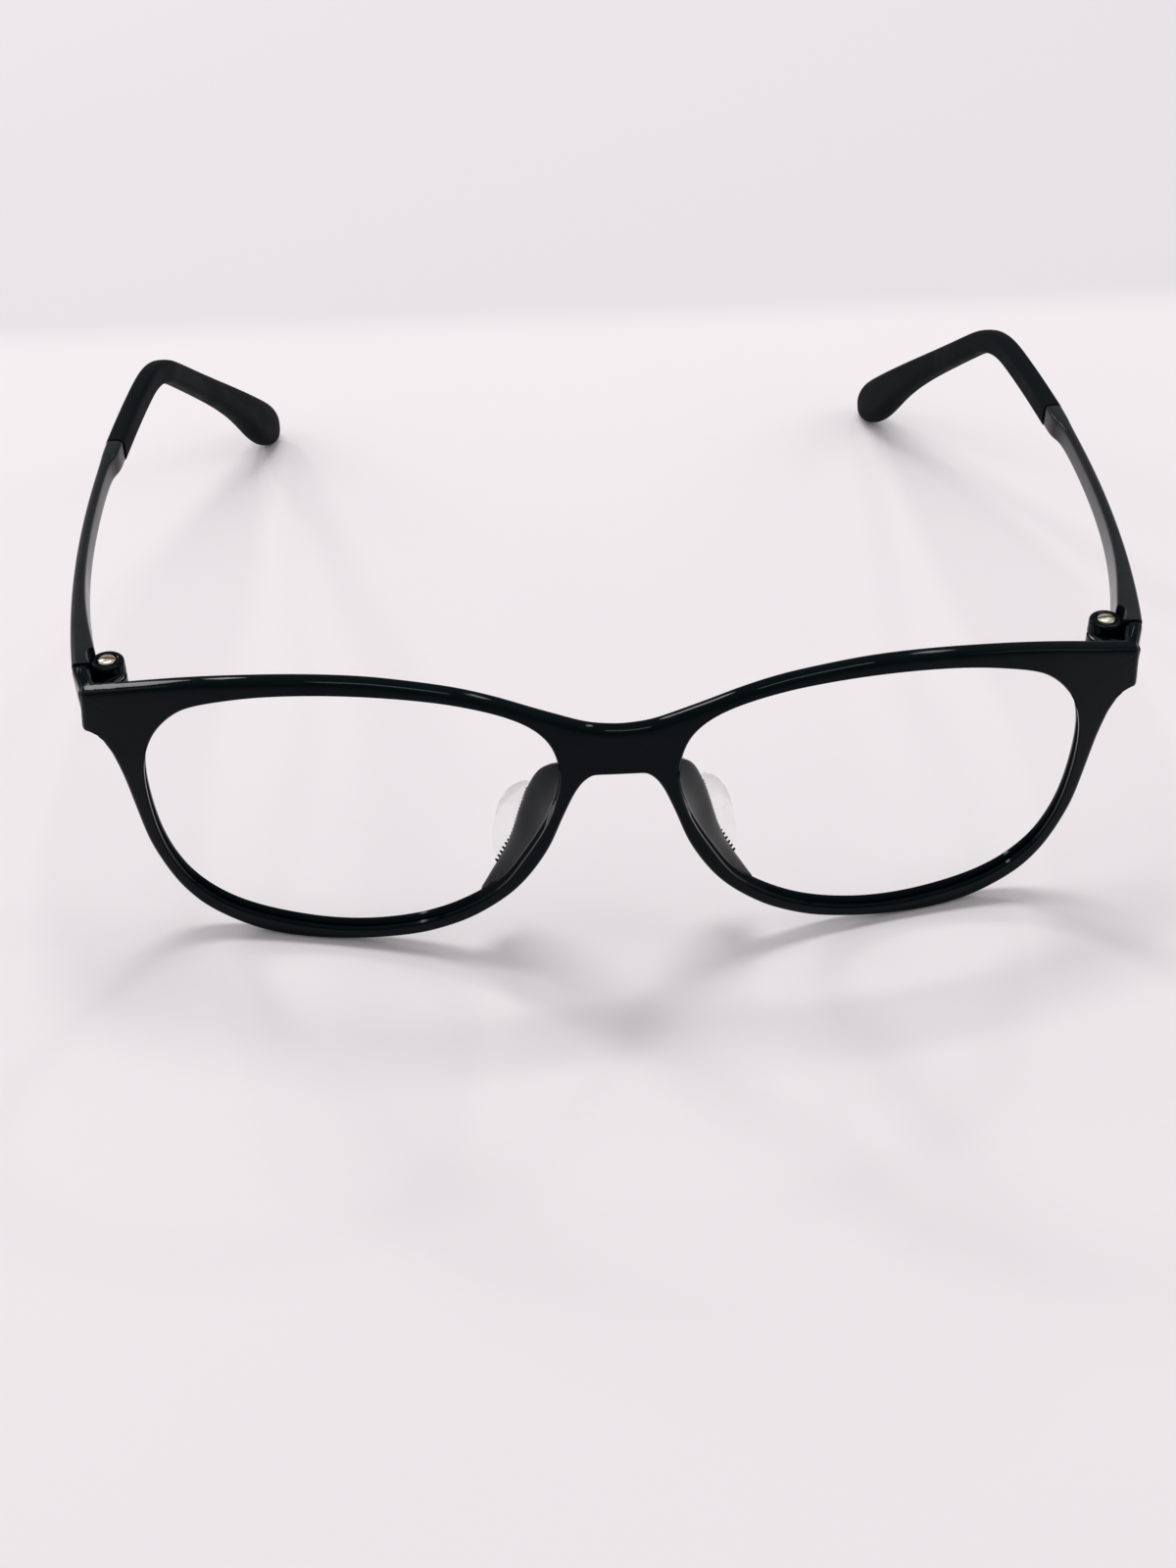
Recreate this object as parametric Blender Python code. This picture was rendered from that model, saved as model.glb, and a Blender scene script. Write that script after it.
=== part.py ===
"""Black moulded eyeglass frame with folding temples, standing open on its rims and temple tips.

Metres, +Z up. X runs across the face and Y runs back along the temples. Left and right are the
wearer's, so the left temple is at +X.
The frame is first built as it is worn, with the temples level and the hinge pins upright at Y = 0.
Then it is leaned until the lower rims and the temple tips both touch Z = 0.
"""

import math

import bmesh
import bpy
import numpy as np
from mathutils import Matrix, Vector

MM = 0.001

# Eyes and bridge
LENS_WIDTH = 53.0 * MM
LENS_HEIGHT = 43.1 * MM
BRIDGE_WIDTH = 14.9 * MM
BRIDGE_TOP_HEIGHT = 15.8 * MM
BRIDGE_UNDERSIDE_HEIGHT = 8.5 * MM
BRIDGE_UNDERSIDE_WIDTH = 6.6 * MM

# Rims
RIM_THICKNESS = 2.4 * MM
RIM_SIDE_WIDTH = 2.2 * MM
RIM_TOP_WIDTH = 1.9 * MM
RIM_BOTTOM_WIDTH = 2.5 * MM
RIM_EDGE_RADIUS = 0.7 * MM
LIP_CHAMFER = 0.2 * MM
GROOVE_DEPTH = 0.7 * MM
GROOVE_WIDTH = 1.1 * MM
BOW_RADIUS = 203.0 * MM
PANTOSCOPIC_ANGLE = math.radians(5.9)

# Endpieces
ENDPIECE_OVERHANG = 6.0 * MM
ENDPIECE_HEIGHT = 7.2 * MM
ENDPIECE_TOP_HEIGHT = 17.5 * MM
ENDPIECE_CORNER_RADIUS = 1.0 * MM
ENDPIECE_LOWER_RADIUS = 1.8 * MM
ENDPIECE_WALL = 2.3 * MM
ENDPIECE_FLARE = 0.75 * MM
ENDPIECE_WRAP = 1.6 * MM
ENDPIECE_MERGE = 0.05 * MM

# Hinges
PIN_INSET = 2.45 * MM
PIN_SETBACK = 8.1 * MM
BUTT_SETBACK = 2.3 * MM
BARREL_DIAMETER = 4.3 * MM
BARREL_HEIGHT = 6.6 * MM
BARREL_DROP = 1.15 * MM
TOP_KNUCKLE_HEIGHT = 2.1 * MM
MIDDLE_KNUCKLE_HEIGHT = 1.9 * MM
WASHER_THICKNESS = 0.25 * MM
WASHER_GAP = 0.15 * MM
BARREL_FREE_TURN = (math.radians(-70), math.radians(215))
KNUCKLE_FREE_TURN = (math.radians(150), math.radians(360))
WEB_WIDTH = 3.2 * MM
WEB_INSET = 0.6 * MM
GUSSET_LENGTH = 5.0 * MM
SCREW_DIAMETER = 1.4 * MM
SCREW_HEAD_DIAMETER = 2.3 * MM
SCREW_HEAD_HEIGHT = 0.5 * MM
SCREW_DOME_HEIGHT = 0.3 * MM
SCREW_SLOT_WIDTH = 0.4 * MM
SCREW_SLOT_DEPTH = 0.35 * MM
SCREW_TIP_SHARE = 0.7
SCREW_DOME_TURNS = (0, math.radians(25), math.radians(50), math.radians(75))
NUT_DIAMETER = 2.4 * MM
NUT_LENGTH = 1.2 * MM
HINGE_GAP = 0.2 * MM
FIT_GAP = 0.3 * MM
RELIEF_GAP = 0.4 * MM

# Temples
TEMPLE_LENGTH = 140.0 * MM
TEMPLE_BUTT_THICKNESS = 3.1 * MM
TEMPLE_BAR_HEIGHT = 3.3 * MM
TEMPLE_BAR_THICKNESS = 1.5 * MM
TEMPLE_EDGE_RADIUS = 0.6 * MM
TEMPLE_RISE = 1.2 * MM
TEMPLE_SPLAY = 0.198
TEMPLE_TOE_IN = 0.225
TEMPLE_TIP_INSET = 7.1 * MM
COLLAR_THICKNESS = 2.5 * MM
COLLAR_PROUD = 0.1 * MM
COLLAR_LENGTH = 5.5 * MM
SEAM_DISTANCE = 55.5 * MM
BEND_DISTANCE = 75.0 * MM
BEND_RADIUS = 22.0 * MM
BEND_ANGLE = math.radians(37.0)

# Ear sleeves and the cores inside them
SLEEVE_MOUTH_HEIGHT = 3.7 * MM
SLEEVE_MOUTH_THICKNESS = 2.9 * MM
SLEEVE_PROUD = 0.25 * MM
SLEEVE_FOOT_HEIGHT = 8.2 * MM
SLEEVE_FOOT_THICKNESS = 4.2 * MM
SLEEVE_FOOT_DROP = 2.2 * MM
SLEEVE_EDGE_RADIUS = 0.9 * MM
SLEEVE_ROUND_SHARE = 0.45
SLEEVE_WALL = 0.5 * MM
CORE_EDGE_RADIUS = 0.3 * MM
CORE_END_DISTANCE = 112.0 * MM

# Nose wings and the soft pads on them
WING_TOP_HEIGHT = 8.0 * MM
WING_LENGTH = 23.8 * MM
WING_DEPTH = 6.2 * MM
WING_SPREAD = 2.6 * MM
WING_ROOT_THICKNESS = 1.5 * MM
WING_REAR_THICKNESS = 1.1 * MM
WING_ROOT_INSET = 0.15 * MM
WING_EMBED = 1.4 * MM
WING_CURL_POWER = 1.5
PAD_THICKNESS = 1.2 * MM
PAD_EDGE_THICKNESS = 0.4 * MM
PAD_STEP_HEIGHT = 0.35 * MM
PAD_LOBE_REACH = 2.5 * MM
PAD_LOBE_ANGLE = math.radians(45)
PAD_CROWN_POWER = 4
PAD_END_SHARE = 0.33

# Facet counts and what a cut runs past the wall
CORNER_STEPS = 3
EDGE_STEPS = 2
BRIDGE_STEPS = 4
BARREL_SIDES = 24
WING_STEPS = 14
CORE_STEPS = 14
PAD_STEPS = 18
CUT_OVERRUN = 1.0 * MM

# Opening of one eye as shares of its half width and half height, from the nose over the top
OPENING_SHARES = (
    (-1.000, 0.430), (-0.957, 0.657), (-0.874, 0.785), (-0.745, 0.878), (-0.481, 0.968),
    (-0.149, 1.000), (0.183, 0.977), (0.458, 0.912), (0.753, 0.768), (0.896, 0.564),
    (0.979, 0.299), (1.000, -0.063), (0.957, -0.466), (0.851, -0.728), (0.662, -0.905),
    (0.266, -1.000), (-0.081, -0.970), (-0.391, -0.840), (-0.685, -0.570), (-0.828, -0.285),
    (-0.934, -0.010), (-0.985, 0.210),
)

# Brow line from the bridge to the endpiece, as shares of the run to the corner and of the crown height
BROW_SHARES = (
    (0.000, 0.000), (0.055, 0.055), (0.108, 0.230), (0.161, 0.415), (0.215, 0.610), (0.269, 0.765),
    (0.322, 0.870), (0.428, 0.985), (0.502, 1.000), (0.588, 0.955), (0.679, 0.855), (0.752, 0.745),
    (0.813, 0.630), (0.871, 0.500),
)

# Outer edge of the rim from the endpiece round the bottom to the nose, as shares of the rim's half sizes
RIM_SHARES = (
    (1.075, 0.383), (1.030, 0.212), (1.010, 0.045), (0.991, -0.160), (0.969, -0.350), (0.932, -0.500),
    (0.893, -0.617), (0.848, -0.714), (0.762, -0.832), (0.630, -0.925), (0.494, -0.983), (0.354, -1.002),
    (0.211, -1.000), (0.068, -0.983), (-0.073, -0.955), (-0.260, -0.900), (-0.402, -0.823),
    (-0.496, -0.757), (-0.590, -0.668), (-0.684, -0.559), (-0.757, -0.445), (-0.827, -0.300),
    (-0.883, -0.152), (-0.930, 0.025), (-0.984, 0.208),
)

# Nose wing from top to bottom: share of its length, then of its depth and of its outward spread
WING_SHARES = (
    (0.00, 0.16, 0.05), (0.05, 0.36, 0.32), (0.10, 0.55, 0.57), (0.16, 0.74, 0.80), (0.24, 0.88, 0.94),
    (0.34, 0.97, 0.97), (0.46, 1.00, 0.98), (0.60, 1.00, 0.80), (0.75, 0.98, 0.40), (0.88, 0.88, 0.01),
    (0.95, 0.68, -0.16), (1.00, 0.35, -0.10),
)
WING_CURL_SHARES = (0.0, 0.35, 0.70, 0.93, 1.0)
WING_ROUND_SHARES = (1.0, 1.0, 1.0, 0.8, 0.35)

# Where the pad starts and ends on the wing's length, and its places on the wing's depth
PAD_SPAN_SHARES = (0.39, 0.94)
PAD_DEPTH_SHARES = (0.22, 0.55, 0.90)
PAD_LOBE_MIDDLE_SHARE = 0.45

# Temple bar from its butt to the collar: share of that run, then of its loss of height and of thickness
BAR_SHARES = (
    (0.00, 0.00, 0.00), (0.05, 0.03, 0.02), (0.10, 0.10, 0.12), (0.17, 0.26, 0.36), (0.26, 0.46, 0.64),
    (0.37, 0.68, 0.86), (0.50, 0.85, 0.96), (0.66, 0.95, 1.00), (0.84, 1.00, 1.00), (1.00, 1.00, 1.00),
)

# Ear sleeve from its mouth to its foot: share of its length, then of its growth in height and in
# thickness, and of the foot's drop below the bar line
SLEEVE_SHARES = (
    (0.000, 0.00, 0.00, 0.00), (0.100, 0.00, 0.03, 0.00), (0.190, 0.00, 0.05, 0.00),
    (0.245, 0.00, 0.06, 0.00), (0.290, 0.00, 0.07, 0.00), (0.335, 0.01, 0.08, 0.00),
    (0.380, 0.01, 0.10, 0.00), (0.430, 0.03, 0.12, 0.00), (0.510, 0.06, 0.18, 0.01),
    (0.600, 0.12, 0.28, 0.04), (0.680, 0.22, 0.40, 0.11), (0.750, 0.37, 0.55, 0.25),
    (0.810, 0.58, 0.74, 0.48), (0.865, 0.86, 0.92, 0.80), (0.910, 1.00, 1.00, 1.00),
    (0.945, 0.96, 0.98, 1.04), (0.972, 0.72, 0.80, 1.06), (0.990, 0.36, 0.48, 1.06),
    (1.000, 0.00, 0.10, 1.06),
)

BLACK_GLOSS = ((0.012, 0.013, 0.014), 0.12, 0.0)
BLACK_SATIN = ((0.018, 0.018, 0.020), 0.42, 0.0)
BLACK_RUBBER = ((0.022, 0.022, 0.023), 0.75, 0.0)
CLEAR_SILICONE = ((0.75, 0.77, 0.76), 0.25, 0.0)
PALE_BRASS = ((0.78, 0.68, 0.48), 0.28, 1.0)
STEEL = ((0.62, 0.62, 0.61), 0.30, 1.0)


def lens_centre():
    return BRIDGE_WIDTH / 2 + LENS_WIDTH / 2


def corner_x():
    """Half width of the front at the top corners of its endpieces."""
    return BRIDGE_WIDTH / 2 + LENS_WIDTH + ENDPIECE_OVERHANG


def pin_x():
    return corner_x() - PIN_INSET


def bow(x):
    """How far the bowed front lies behind its middle at this distance from it."""
    return x * x / (2 * BOW_RADIUS)


def worn(across, behind, up):
    """Worn place of a point given on the front: across it, behind its face and up it."""
    sine, cosine = math.sin(PANTOSCOPIC_ANGLE), math.cos(PANTOSCOPIC_ANGLE)
    pin_up = ENDPIECE_TOP_HEIGHT - ENDPIECE_HEIGHT / 2
    pin_behind = bow(pin_x()) + PIN_SETBACK * cosine - pin_up * sine
    level = bow(across) + behind * cosine - up * sine - pin_behind
    return Vector((across, level, up * cosine + behind * sine))


def butt_middle_height():
    """Worn height of the middle of the joint between endpiece and temple."""
    return worn(corner_x(), PIN_SETBACK - BUTT_SETBACK, ENDPIECE_TOP_HEIGHT - ENDPIECE_HEIGHT / 2).z


def barrel_top():
    return butt_middle_height() + ENDPIECE_HEIGHT / 2 - BARREL_DROP


def barrel_bottom():
    return barrel_top() - BARREL_HEIGHT


def middle_knuckle():
    """Bottom and top of the temple's knuckle."""
    top = barrel_top() - TOP_KNUCKLE_HEIGHT - WASHER_THICKNESS - 2 * WASHER_GAP
    return top - MIDDLE_KNUCKLE_HEIGHT, top


def blend(first, second, start, end, at):
    return first + (second - first) * (at - start) / (end - start)


def smooth_through(points, steps, closed=False):
    """Points of a smooth curve through these ones, with this many steps from each to the next."""
    known = [np.array(point, float) for point in points]
    if closed:
        padded = [known[-1]] + known + known[:2]
    else:
        padded = [2 * known[0] - known[1]] + known + [2 * known[-1] - known[-2]]
    curve = []
    for before, start, end, after in zip(padded, padded[1:], padded[2:], padded[3:]):
        knots = [0.0]
        for near, far in ((before, start), (start, end), (end, after)):
            knots.append(knots[-1] + math.sqrt(np.linalg.norm(far - near)))
        for step in range(steps):
            at = knots[1] + (knots[2] - knots[1]) * step / steps
            first = blend(before, start, knots[0], knots[1], at)
            second = blend(start, end, knots[1], knots[2], at)
            third = blend(end, after, knots[2], knots[3], at)
            low = blend(first, second, knots[0], knots[2], at)
            high = blend(second, third, knots[1], knots[3], at)
            curve.append(blend(low, high, knots[1], knots[2], at))
    return curve if closed else curve + [known[-1]]


def read_shares(table, at):
    """Values of a table of shares at this share of its first column."""
    columns = np.array(table, float).T
    return [float(np.interp(at, columns[0], column)) for column in columns[1:]]


def arc(x, z, radius, start, end):
    """Points of an arc between two angles in degrees."""
    turns = [math.radians(start + (end - start) * step / CORNER_STEPS) for step in range(CORNER_STEPS + 1)]
    return [(x + radius * math.cos(turn), z + radius * math.sin(turn)) for turn in turns]


def rounded_rectangle(low_x, high_x, low_z, high_z, radius, outer_low_radius=None):
    """Outline of a rounded rectangle. Its lower corner at the high X side may have its own radius."""
    outer = outer_low_radius or radius
    corners = ((high_x - radius, high_z - radius, 90, radius), (high_x - outer, low_z + outer, 0, outer),
               (low_x + radius, low_z + radius, -90, radius), (low_x + radius, high_z - radius, -180, radius))
    return [point for x, z, start, turn in corners for point in arc(x, z, turn, start, start - 90)]


def left_normals(points, closed):
    """Unit normals on the left of a flat curve."""
    last = len(points) - 1
    normals = []
    for index in range(len(points)):
        near = index - 1 if closed or index > 0 else 1
        far = (index + 1) % len(points) if closed or index < last else last - 1
        arriving, leaving = points[index] - points[near], points[far] - points[index]
        if not closed and index in (0, last):
            arriving, leaving = (-arriving, leaving) if index == 0 else (arriving, -leaving)
        along = arriving / np.linalg.norm(arriving) + leaving / np.linalg.norm(leaving)
        normals.append(np.array((-along[1], along[0])) / np.linalg.norm(along))
    return normals


def loft(rings, closed_path=False):
    """Bmesh of a skin over rings of points, capped at both ends unless the path closes."""
    made = bmesh.new()
    rows = [[made.verts.new(point) for point in ring] for ring in rings]
    count = len(rows[0])
    for near, far in zip(rows, rows[1:] + rows[:1] if closed_path else rows[1:]):
        for side in range(count):
            after = (side + 1) % count
            made.faces.new((near[side], near[after], far[after], far[side]))
    if not closed_path:
        made.faces.new(rows[0])
        made.faces.new(rows[-1])
    return made


def prism(outline, bottom, top):
    """Bmesh of a flat outline in X and Y, standing between two heights."""
    return loft([[(x, y, height) for x, y in outline] for height in (bottom, top)])


def turned(profile, x=0.0):
    """Bmesh of a profile of radius and height turned about an upright axis."""
    turns = [2 * math.pi * side / BARREL_SIDES for side in range(BARREL_SIDES)]
    return loft([[(x + radius * math.cos(turn), radius * math.sin(turn), height) for turn in turns]
                 for radius, height in profile])


def cylinder(diameter, bottom, top, x=0.0):
    return turned(((diameter / 2, bottom), (diameter / 2, top)), x)


def mirrored(shape):
    """The same bmesh turned over to the other side of X = 0."""
    other = shape.copy()
    bmesh.ops.scale(other, vec=(-1, 1, 1), verts=other.verts)
    bmesh.ops.reverse_faces(other, faces=other.faces)
    return other


def as_object(name, shape):
    bmesh.ops.recalc_face_normals(shape, faces=shape.faces)
    mesh = bpy.data.meshes.new(name)
    shape.to_mesh(mesh)
    shape.free()
    made = bpy.data.objects.new(name, mesh)
    bpy.context.collection.objects.link(made)
    return made


def combine(target, shape, operation, solver="EXACT"):
    """Joins a bmesh to an object, or cuts it from it."""
    other = as_object("helper", shape)
    modifier = target.modifiers.new("combine", "BOOLEAN")
    modifier.operation = operation
    modifier.solver = solver
    modifier.object = other
    result = bpy.data.meshes.new_from_object(target.evaluated_get(bpy.context.evaluated_depsgraph_get()))
    target.modifiers.clear()
    target.data = result
    bpy.data.objects.remove(other)


def finish(piece, material_values, parent):
    """Gives a piece its material, smooth rounds and parent, and keeps its place in the parent's space."""
    colour, roughness, metallic = material_values
    piece.data.shade_smooth()
    piece.data.set_sharp_from_angle(angle=math.radians(40))
    material = bpy.data.materials.new(piece.name)
    material.use_nodes = True
    shader = material.node_tree.nodes["Principled BSDF"]
    shader.inputs["Base Color"].default_value = (*colour, 1.0)
    shader.inputs["Roughness"].default_value = roughness
    shader.inputs["Metallic"].default_value = metallic
    piece.data.materials.clear()
    piece.data.materials.append(material)
    piece.data.transform(Matrix.Translation(-parent.location))
    piece.parent = parent


def half_front_outline():
    """Outer edge of one half of the front, from the bridge top round to the bridge underside."""
    crown = LENS_HEIGHT / 2 + RIM_TOP_WIDTH - BRIDGE_TOP_HEIGHT
    brow = [(x * corner_x(), BRIDGE_TOP_HEIGHT + z * crown) for x, z in BROW_SHARES]
    half_width = LENS_WIDTH / 2 + RIM_SIDE_WIDTH
    half_height = LENS_HEIGHT / 2 + RIM_BOTTOM_WIDTH
    rim = [(lens_centre() + x * half_width, z * half_height) for x, z in RIM_SHARES]
    radius = ENDPIECE_CORNER_RADIUS
    low = ENDPIECE_TOP_HEIGHT - ENDPIECE_HEIGHT
    top_turn = arc(corner_x() - radius, ENDPIECE_TOP_HEIGHT - radius, radius, 90, 5)
    low_turn = arc(corner_x() + ENDPIECE_FLARE - radius, low + radius, radius, -5, -55)
    notch = (BRIDGE_UNDERSIDE_WIDTH / 2, BRIDGE_UNDERSIDE_HEIGHT)
    shoulder = ((rim[-1][0] + notch[0]) / 2, (rim[-1][1] + 2 * notch[1]) / 3)
    underside = [(notch[0] * (1 - step / BRIDGE_STEPS), notch[1]) for step in range(1, BRIDGE_STEPS + 1)]
    parts = (smooth_through(brow + [top_turn[0]], EDGE_STEPS), top_turn[1:], low_turn,
             smooth_through([low_turn[-1]] + rim, EDGE_STEPS)[1:],
             smooth_through([rim[-1], shoulder, notch], BRIDGE_STEPS // 2)[1:],
             underside)
    return [np.array(point, float) for part in parts for point in part]


def turn_about_lens(points):
    """Angles of points round the lens centre, from the nose over the top, always rising."""
    return np.unwrap([math.atan2(z, lens_centre() - x) for x, z in points])


def opening_at(turns):
    """Points of the lens opening in these directions, and its normals into the rim."""
    curve = smooth_through([(lens_centre() + x * LENS_WIDTH / 2, z * LENS_HEIGHT / 2)
                            for x, z in OPENING_SHARES], 6, closed=True)
    around = np.mod(turn_about_lens(curve), 2 * math.pi)
    order = np.argsort(around)
    found = []
    for values in (np.array(curve), np.array(left_normals(curve, closed=True))):
        found.append(np.stack([np.interp(np.mod(turns, 2 * math.pi), around[order], values[order, axis],
                                         period=2 * math.pi) for axis in (0, 1)], axis=1))
    return found


def rim_section(inner, inner_normal, outer, outer_normal):
    """Ring round the rim's section: front face, rounded outer wall, back face, grooved lens wall."""
    radius, middle = RIM_EDGE_RADIUS, RIM_THICKNESS / 2
    turns = [math.pi / 2 * step / CORNER_STEPS for step in range(CORNER_STEPS + 1)]
    front_edge = [(outer + outer_normal * radius * (math.sin(turn) - 1), radius * (1 - math.cos(turn)))
                  for turn in turns]
    back_edge = [(place, RIM_THICKNESS - behind) for place, behind in reversed(front_edge)]
    face_lip = inner + inner_normal * LIP_CHAMFER
    groove = [(inner, middle + GROOVE_WIDTH / 2), (inner + inner_normal * GROOVE_DEPTH, middle),
              (inner, middle - GROOVE_WIDTH / 2)]
    wall = [(face_lip, RIM_THICKNESS), (inner, RIM_THICKNESS - LIP_CHAMFER)] + groove
    wall += [(inner, LIP_CHAMFER), (face_lip, 0.0)]
    return [worn(place[0], behind, place[1]) for place, behind in front_edge + back_edge + wall]


def front_plate():
    """Both rims, the bridge and the endpiece faces, lofted as one half and mirrored."""
    outline = half_front_outline()
    normals = left_normals(outline, closed=False)
    normals[0], normals[-1] = np.array((0.0, 1.0)), np.array((0.0, -1.0))
    lowest, highest = outline[-1][1] + RIM_EDGE_RADIUS, outline[0][1] - RIM_EDGE_RADIUS
    middle = [np.array((0.0, height)) for height in np.linspace(lowest, highest, BRIDGE_STEPS + 2)[1:-1]]
    turns = turn_about_lens(outline)
    corner = EDGE_STEPS * len(BROW_SHARES)
    past = corner + 2 * (CORNER_STEPS + EDGE_STEPS) + 1
    turns[corner:past] = np.linspace(turns[corner], turns[past], past - corner, endpoint=False)
    notch, whole = len(outline) - 1 - BRIDGE_STEPS, turns[0] + 2 * math.pi
    level = 2 * math.pi + math.atan2(BRIDGE_UNDERSIDE_HEIGHT + 2 * RIM_EDGE_RADIUS, LENS_WIDTH / 2)
    rim_end = notch - BRIDGE_STEPS
    turns[rim_end:notch] = np.linspace(turns[rim_end], level, BRIDGE_STEPS, endpoint=False)
    turns = np.concatenate((turns[:notch], np.linspace(level, whole, 2 * BRIDGE_STEPS + 1, endpoint=False)))
    inner, inner_normals = opening_at(turns)
    outer, outer_normals = outline + middle, normals + [np.zeros(2)] * BRIDGE_STEPS
    rings = [rim_section(*places) for places in zip(inner, inner_normals, outer, outer_normals)]
    half = loft(rings, closed_path=True)
    near = LIP_CHAMFER / 100
    on_middle = [face for face in half.faces if all(abs(vert.co.x) < near for vert in face.verts)]
    bmesh.ops.delete(half, geom=on_middle, context="FACES")
    bmesh.ops.mirror(half, geom=half.verts[:] + half.edges[:] + half.faces[:], axis="X", merge_dist=near)
    return half


def endpiece_stub():
    """Left endpiece's run back from the front's edge to the butt face."""
    low, high = ENDPIECE_TOP_HEIGHT - ENDPIECE_HEIGHT + ENDPIECE_MERGE, ENDPIECE_TOP_HEIGHT - ENDPIECE_MERGE
    outside = corner_x() - ENDPIECE_MERGE
    face_ring, butt_ring = [], []
    for x, z in rounded_rectangle(outside - ENDPIECE_WALL, outside, low, high, ENDPIECE_CORNER_RADIUS,
                                  ENDPIECE_LOWER_RADIUS):
        flare = ENDPIECE_FLARE * (high - z) / (high - low)
        face_ring.append(worn(x + flare, RIM_THICKNESS / 2, z))
        at_butt = worn(x + ENDPIECE_WRAP + ENDPIECE_MERGE, PIN_SETBACK - BUTT_SETBACK, z)
        butt_ring.append((at_butt.x, -BUTT_SETBACK, at_butt.z))
    return loft([face_ring, butt_ring])


def barrel_outline():
    """Left barrel with the web that carries it, seen from above."""
    radius = BARREL_DIAMETER / 2
    round_side = [(pin_x() + radius * math.cos(turn), radius * math.sin(turn))
                  for turn in np.linspace(*BARREL_FREE_TURN, BARREL_SIDES + 1)]
    root = -(PIN_SETBACK - RIM_THICKNESS / 2)
    inside, outside = pin_x() - WEB_INSET, pin_x() - WEB_INSET + WEB_WIDTH
    return round_side + [(inside, root), (outside, root), (outside, -BUTT_SETBACK - FIT_GAP)]


def nose_edge(up):
    """Distance from the middle of the rim's nose edge at this height on the front."""
    outline = half_front_outline()
    side = [point for point in outline[len(outline) // 2:] if point[0] < lens_centre() - LENS_WIDTH / 5]
    side.sort(key=lambda point: point[1])
    return float(np.interp(up, [point[1] for point in side], [point[0] for point in side]))


def wing_point(share, back, aside, past=0.0):
    """Worn place on the left nose wing, by shares of its length and depth and distance from its middle.

    A distance past the wing runs back and outwards from there, as the pad's lobe does.
    """
    depth_share, spread_share = read_shares(WING_SHARES, share)
    depth, spread = WING_DEPTH * depth_share, WING_SPREAD * spread_share
    up = WING_TOP_HEIGHT - share * WING_LENGTH
    root = nose_edge(up) + WING_ROOT_INSET + WING_ROOT_THICKNESS / 2
    outward = max(back, 0.0)
    along = np.array((WING_CURL_POWER * spread * outward ** (WING_CURL_POWER - 1), depth))
    side = np.array((along[1], -along[0])) / np.linalg.norm(along)
    across = root + spread * outward ** WING_CURL_POWER + side[0] * aside + past * math.sin(PAD_LOBE_ANGLE)
    behind = RIM_THICKNESS + depth * back + side[1] * aside + past * math.cos(PAD_LOBE_ANGLE)
    return worn(across, behind, up)


def wing_half_thickness(back):
    return blend(WING_ROOT_THICKNESS, WING_REAR_THICKNESS, 0, 1, back) / 2


def nose_wing():
    """Left nose wing, rooted in the back of the rim."""
    rings = []
    for step in range(WING_STEPS + 1):
        share = step / WING_STEPS
        depth = WING_DEPTH * read_shares(WING_SHARES, share)[0]
        backs = [-WING_EMBED / depth] + list(WING_CURL_SHARES)
        widths = [1.0] + list(WING_ROUND_SHARES)
        lens_side = [wing_point(share, back, wing_half_thickness(max(back, 0)) * width)
                     for back, width in zip(backs, widths)]
        nose_side = [wing_point(share, back, -wing_half_thickness(max(back, 0)) * width)
                     for back, width in zip(backs, widths)]
        rings.append(lens_side + nose_side[::-1])
    return loft(rings)


def make_front(parent):
    """The one moulding: rims, bridge, endpieces, outer knuckles and nose wings."""
    front = as_object("front", front_plate())
    low, high = middle_knuckle()
    for shape in (endpiece_stub(), prism(barrel_outline(), barrel_bottom(), barrel_top()), nose_wing()):
        combine(front, mirrored(shape), "UNION", "MANIFOLD")
        combine(front, shape, "UNION", "MANIFOLD")
    hole = SCREW_DIAMETER + 2 * HINGE_GAP
    head_seat = barrel_top() - SCREW_HEAD_HEIGHT - HINGE_GAP
    nut_seat = barrel_bottom() + NUT_LENGTH + HINGE_GAP
    cuts = ((BARREL_DIAMETER + 2 * RELIEF_GAP, low - FIT_GAP, barrel_top() - TOP_KNUCKLE_HEIGHT),
            (hole, barrel_bottom() - CUT_OVERRUN, barrel_top() + CUT_OVERRUN),
            (SCREW_HEAD_DIAMETER + 2 * HINGE_GAP, head_seat, barrel_top() + CUT_OVERRUN),
            (NUT_DIAMETER + 2 * HINGE_GAP, barrel_bottom() - CUT_OVERRUN, nut_seat))
    for diameter, bottom, top in cuts:
        for x in (-pin_x(), pin_x()):
            combine(front, cylinder(diameter, bottom, top, x), "DIFFERENCE", "MANIFOLD")
    finish(front, BLACK_GLOSS, parent)


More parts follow.
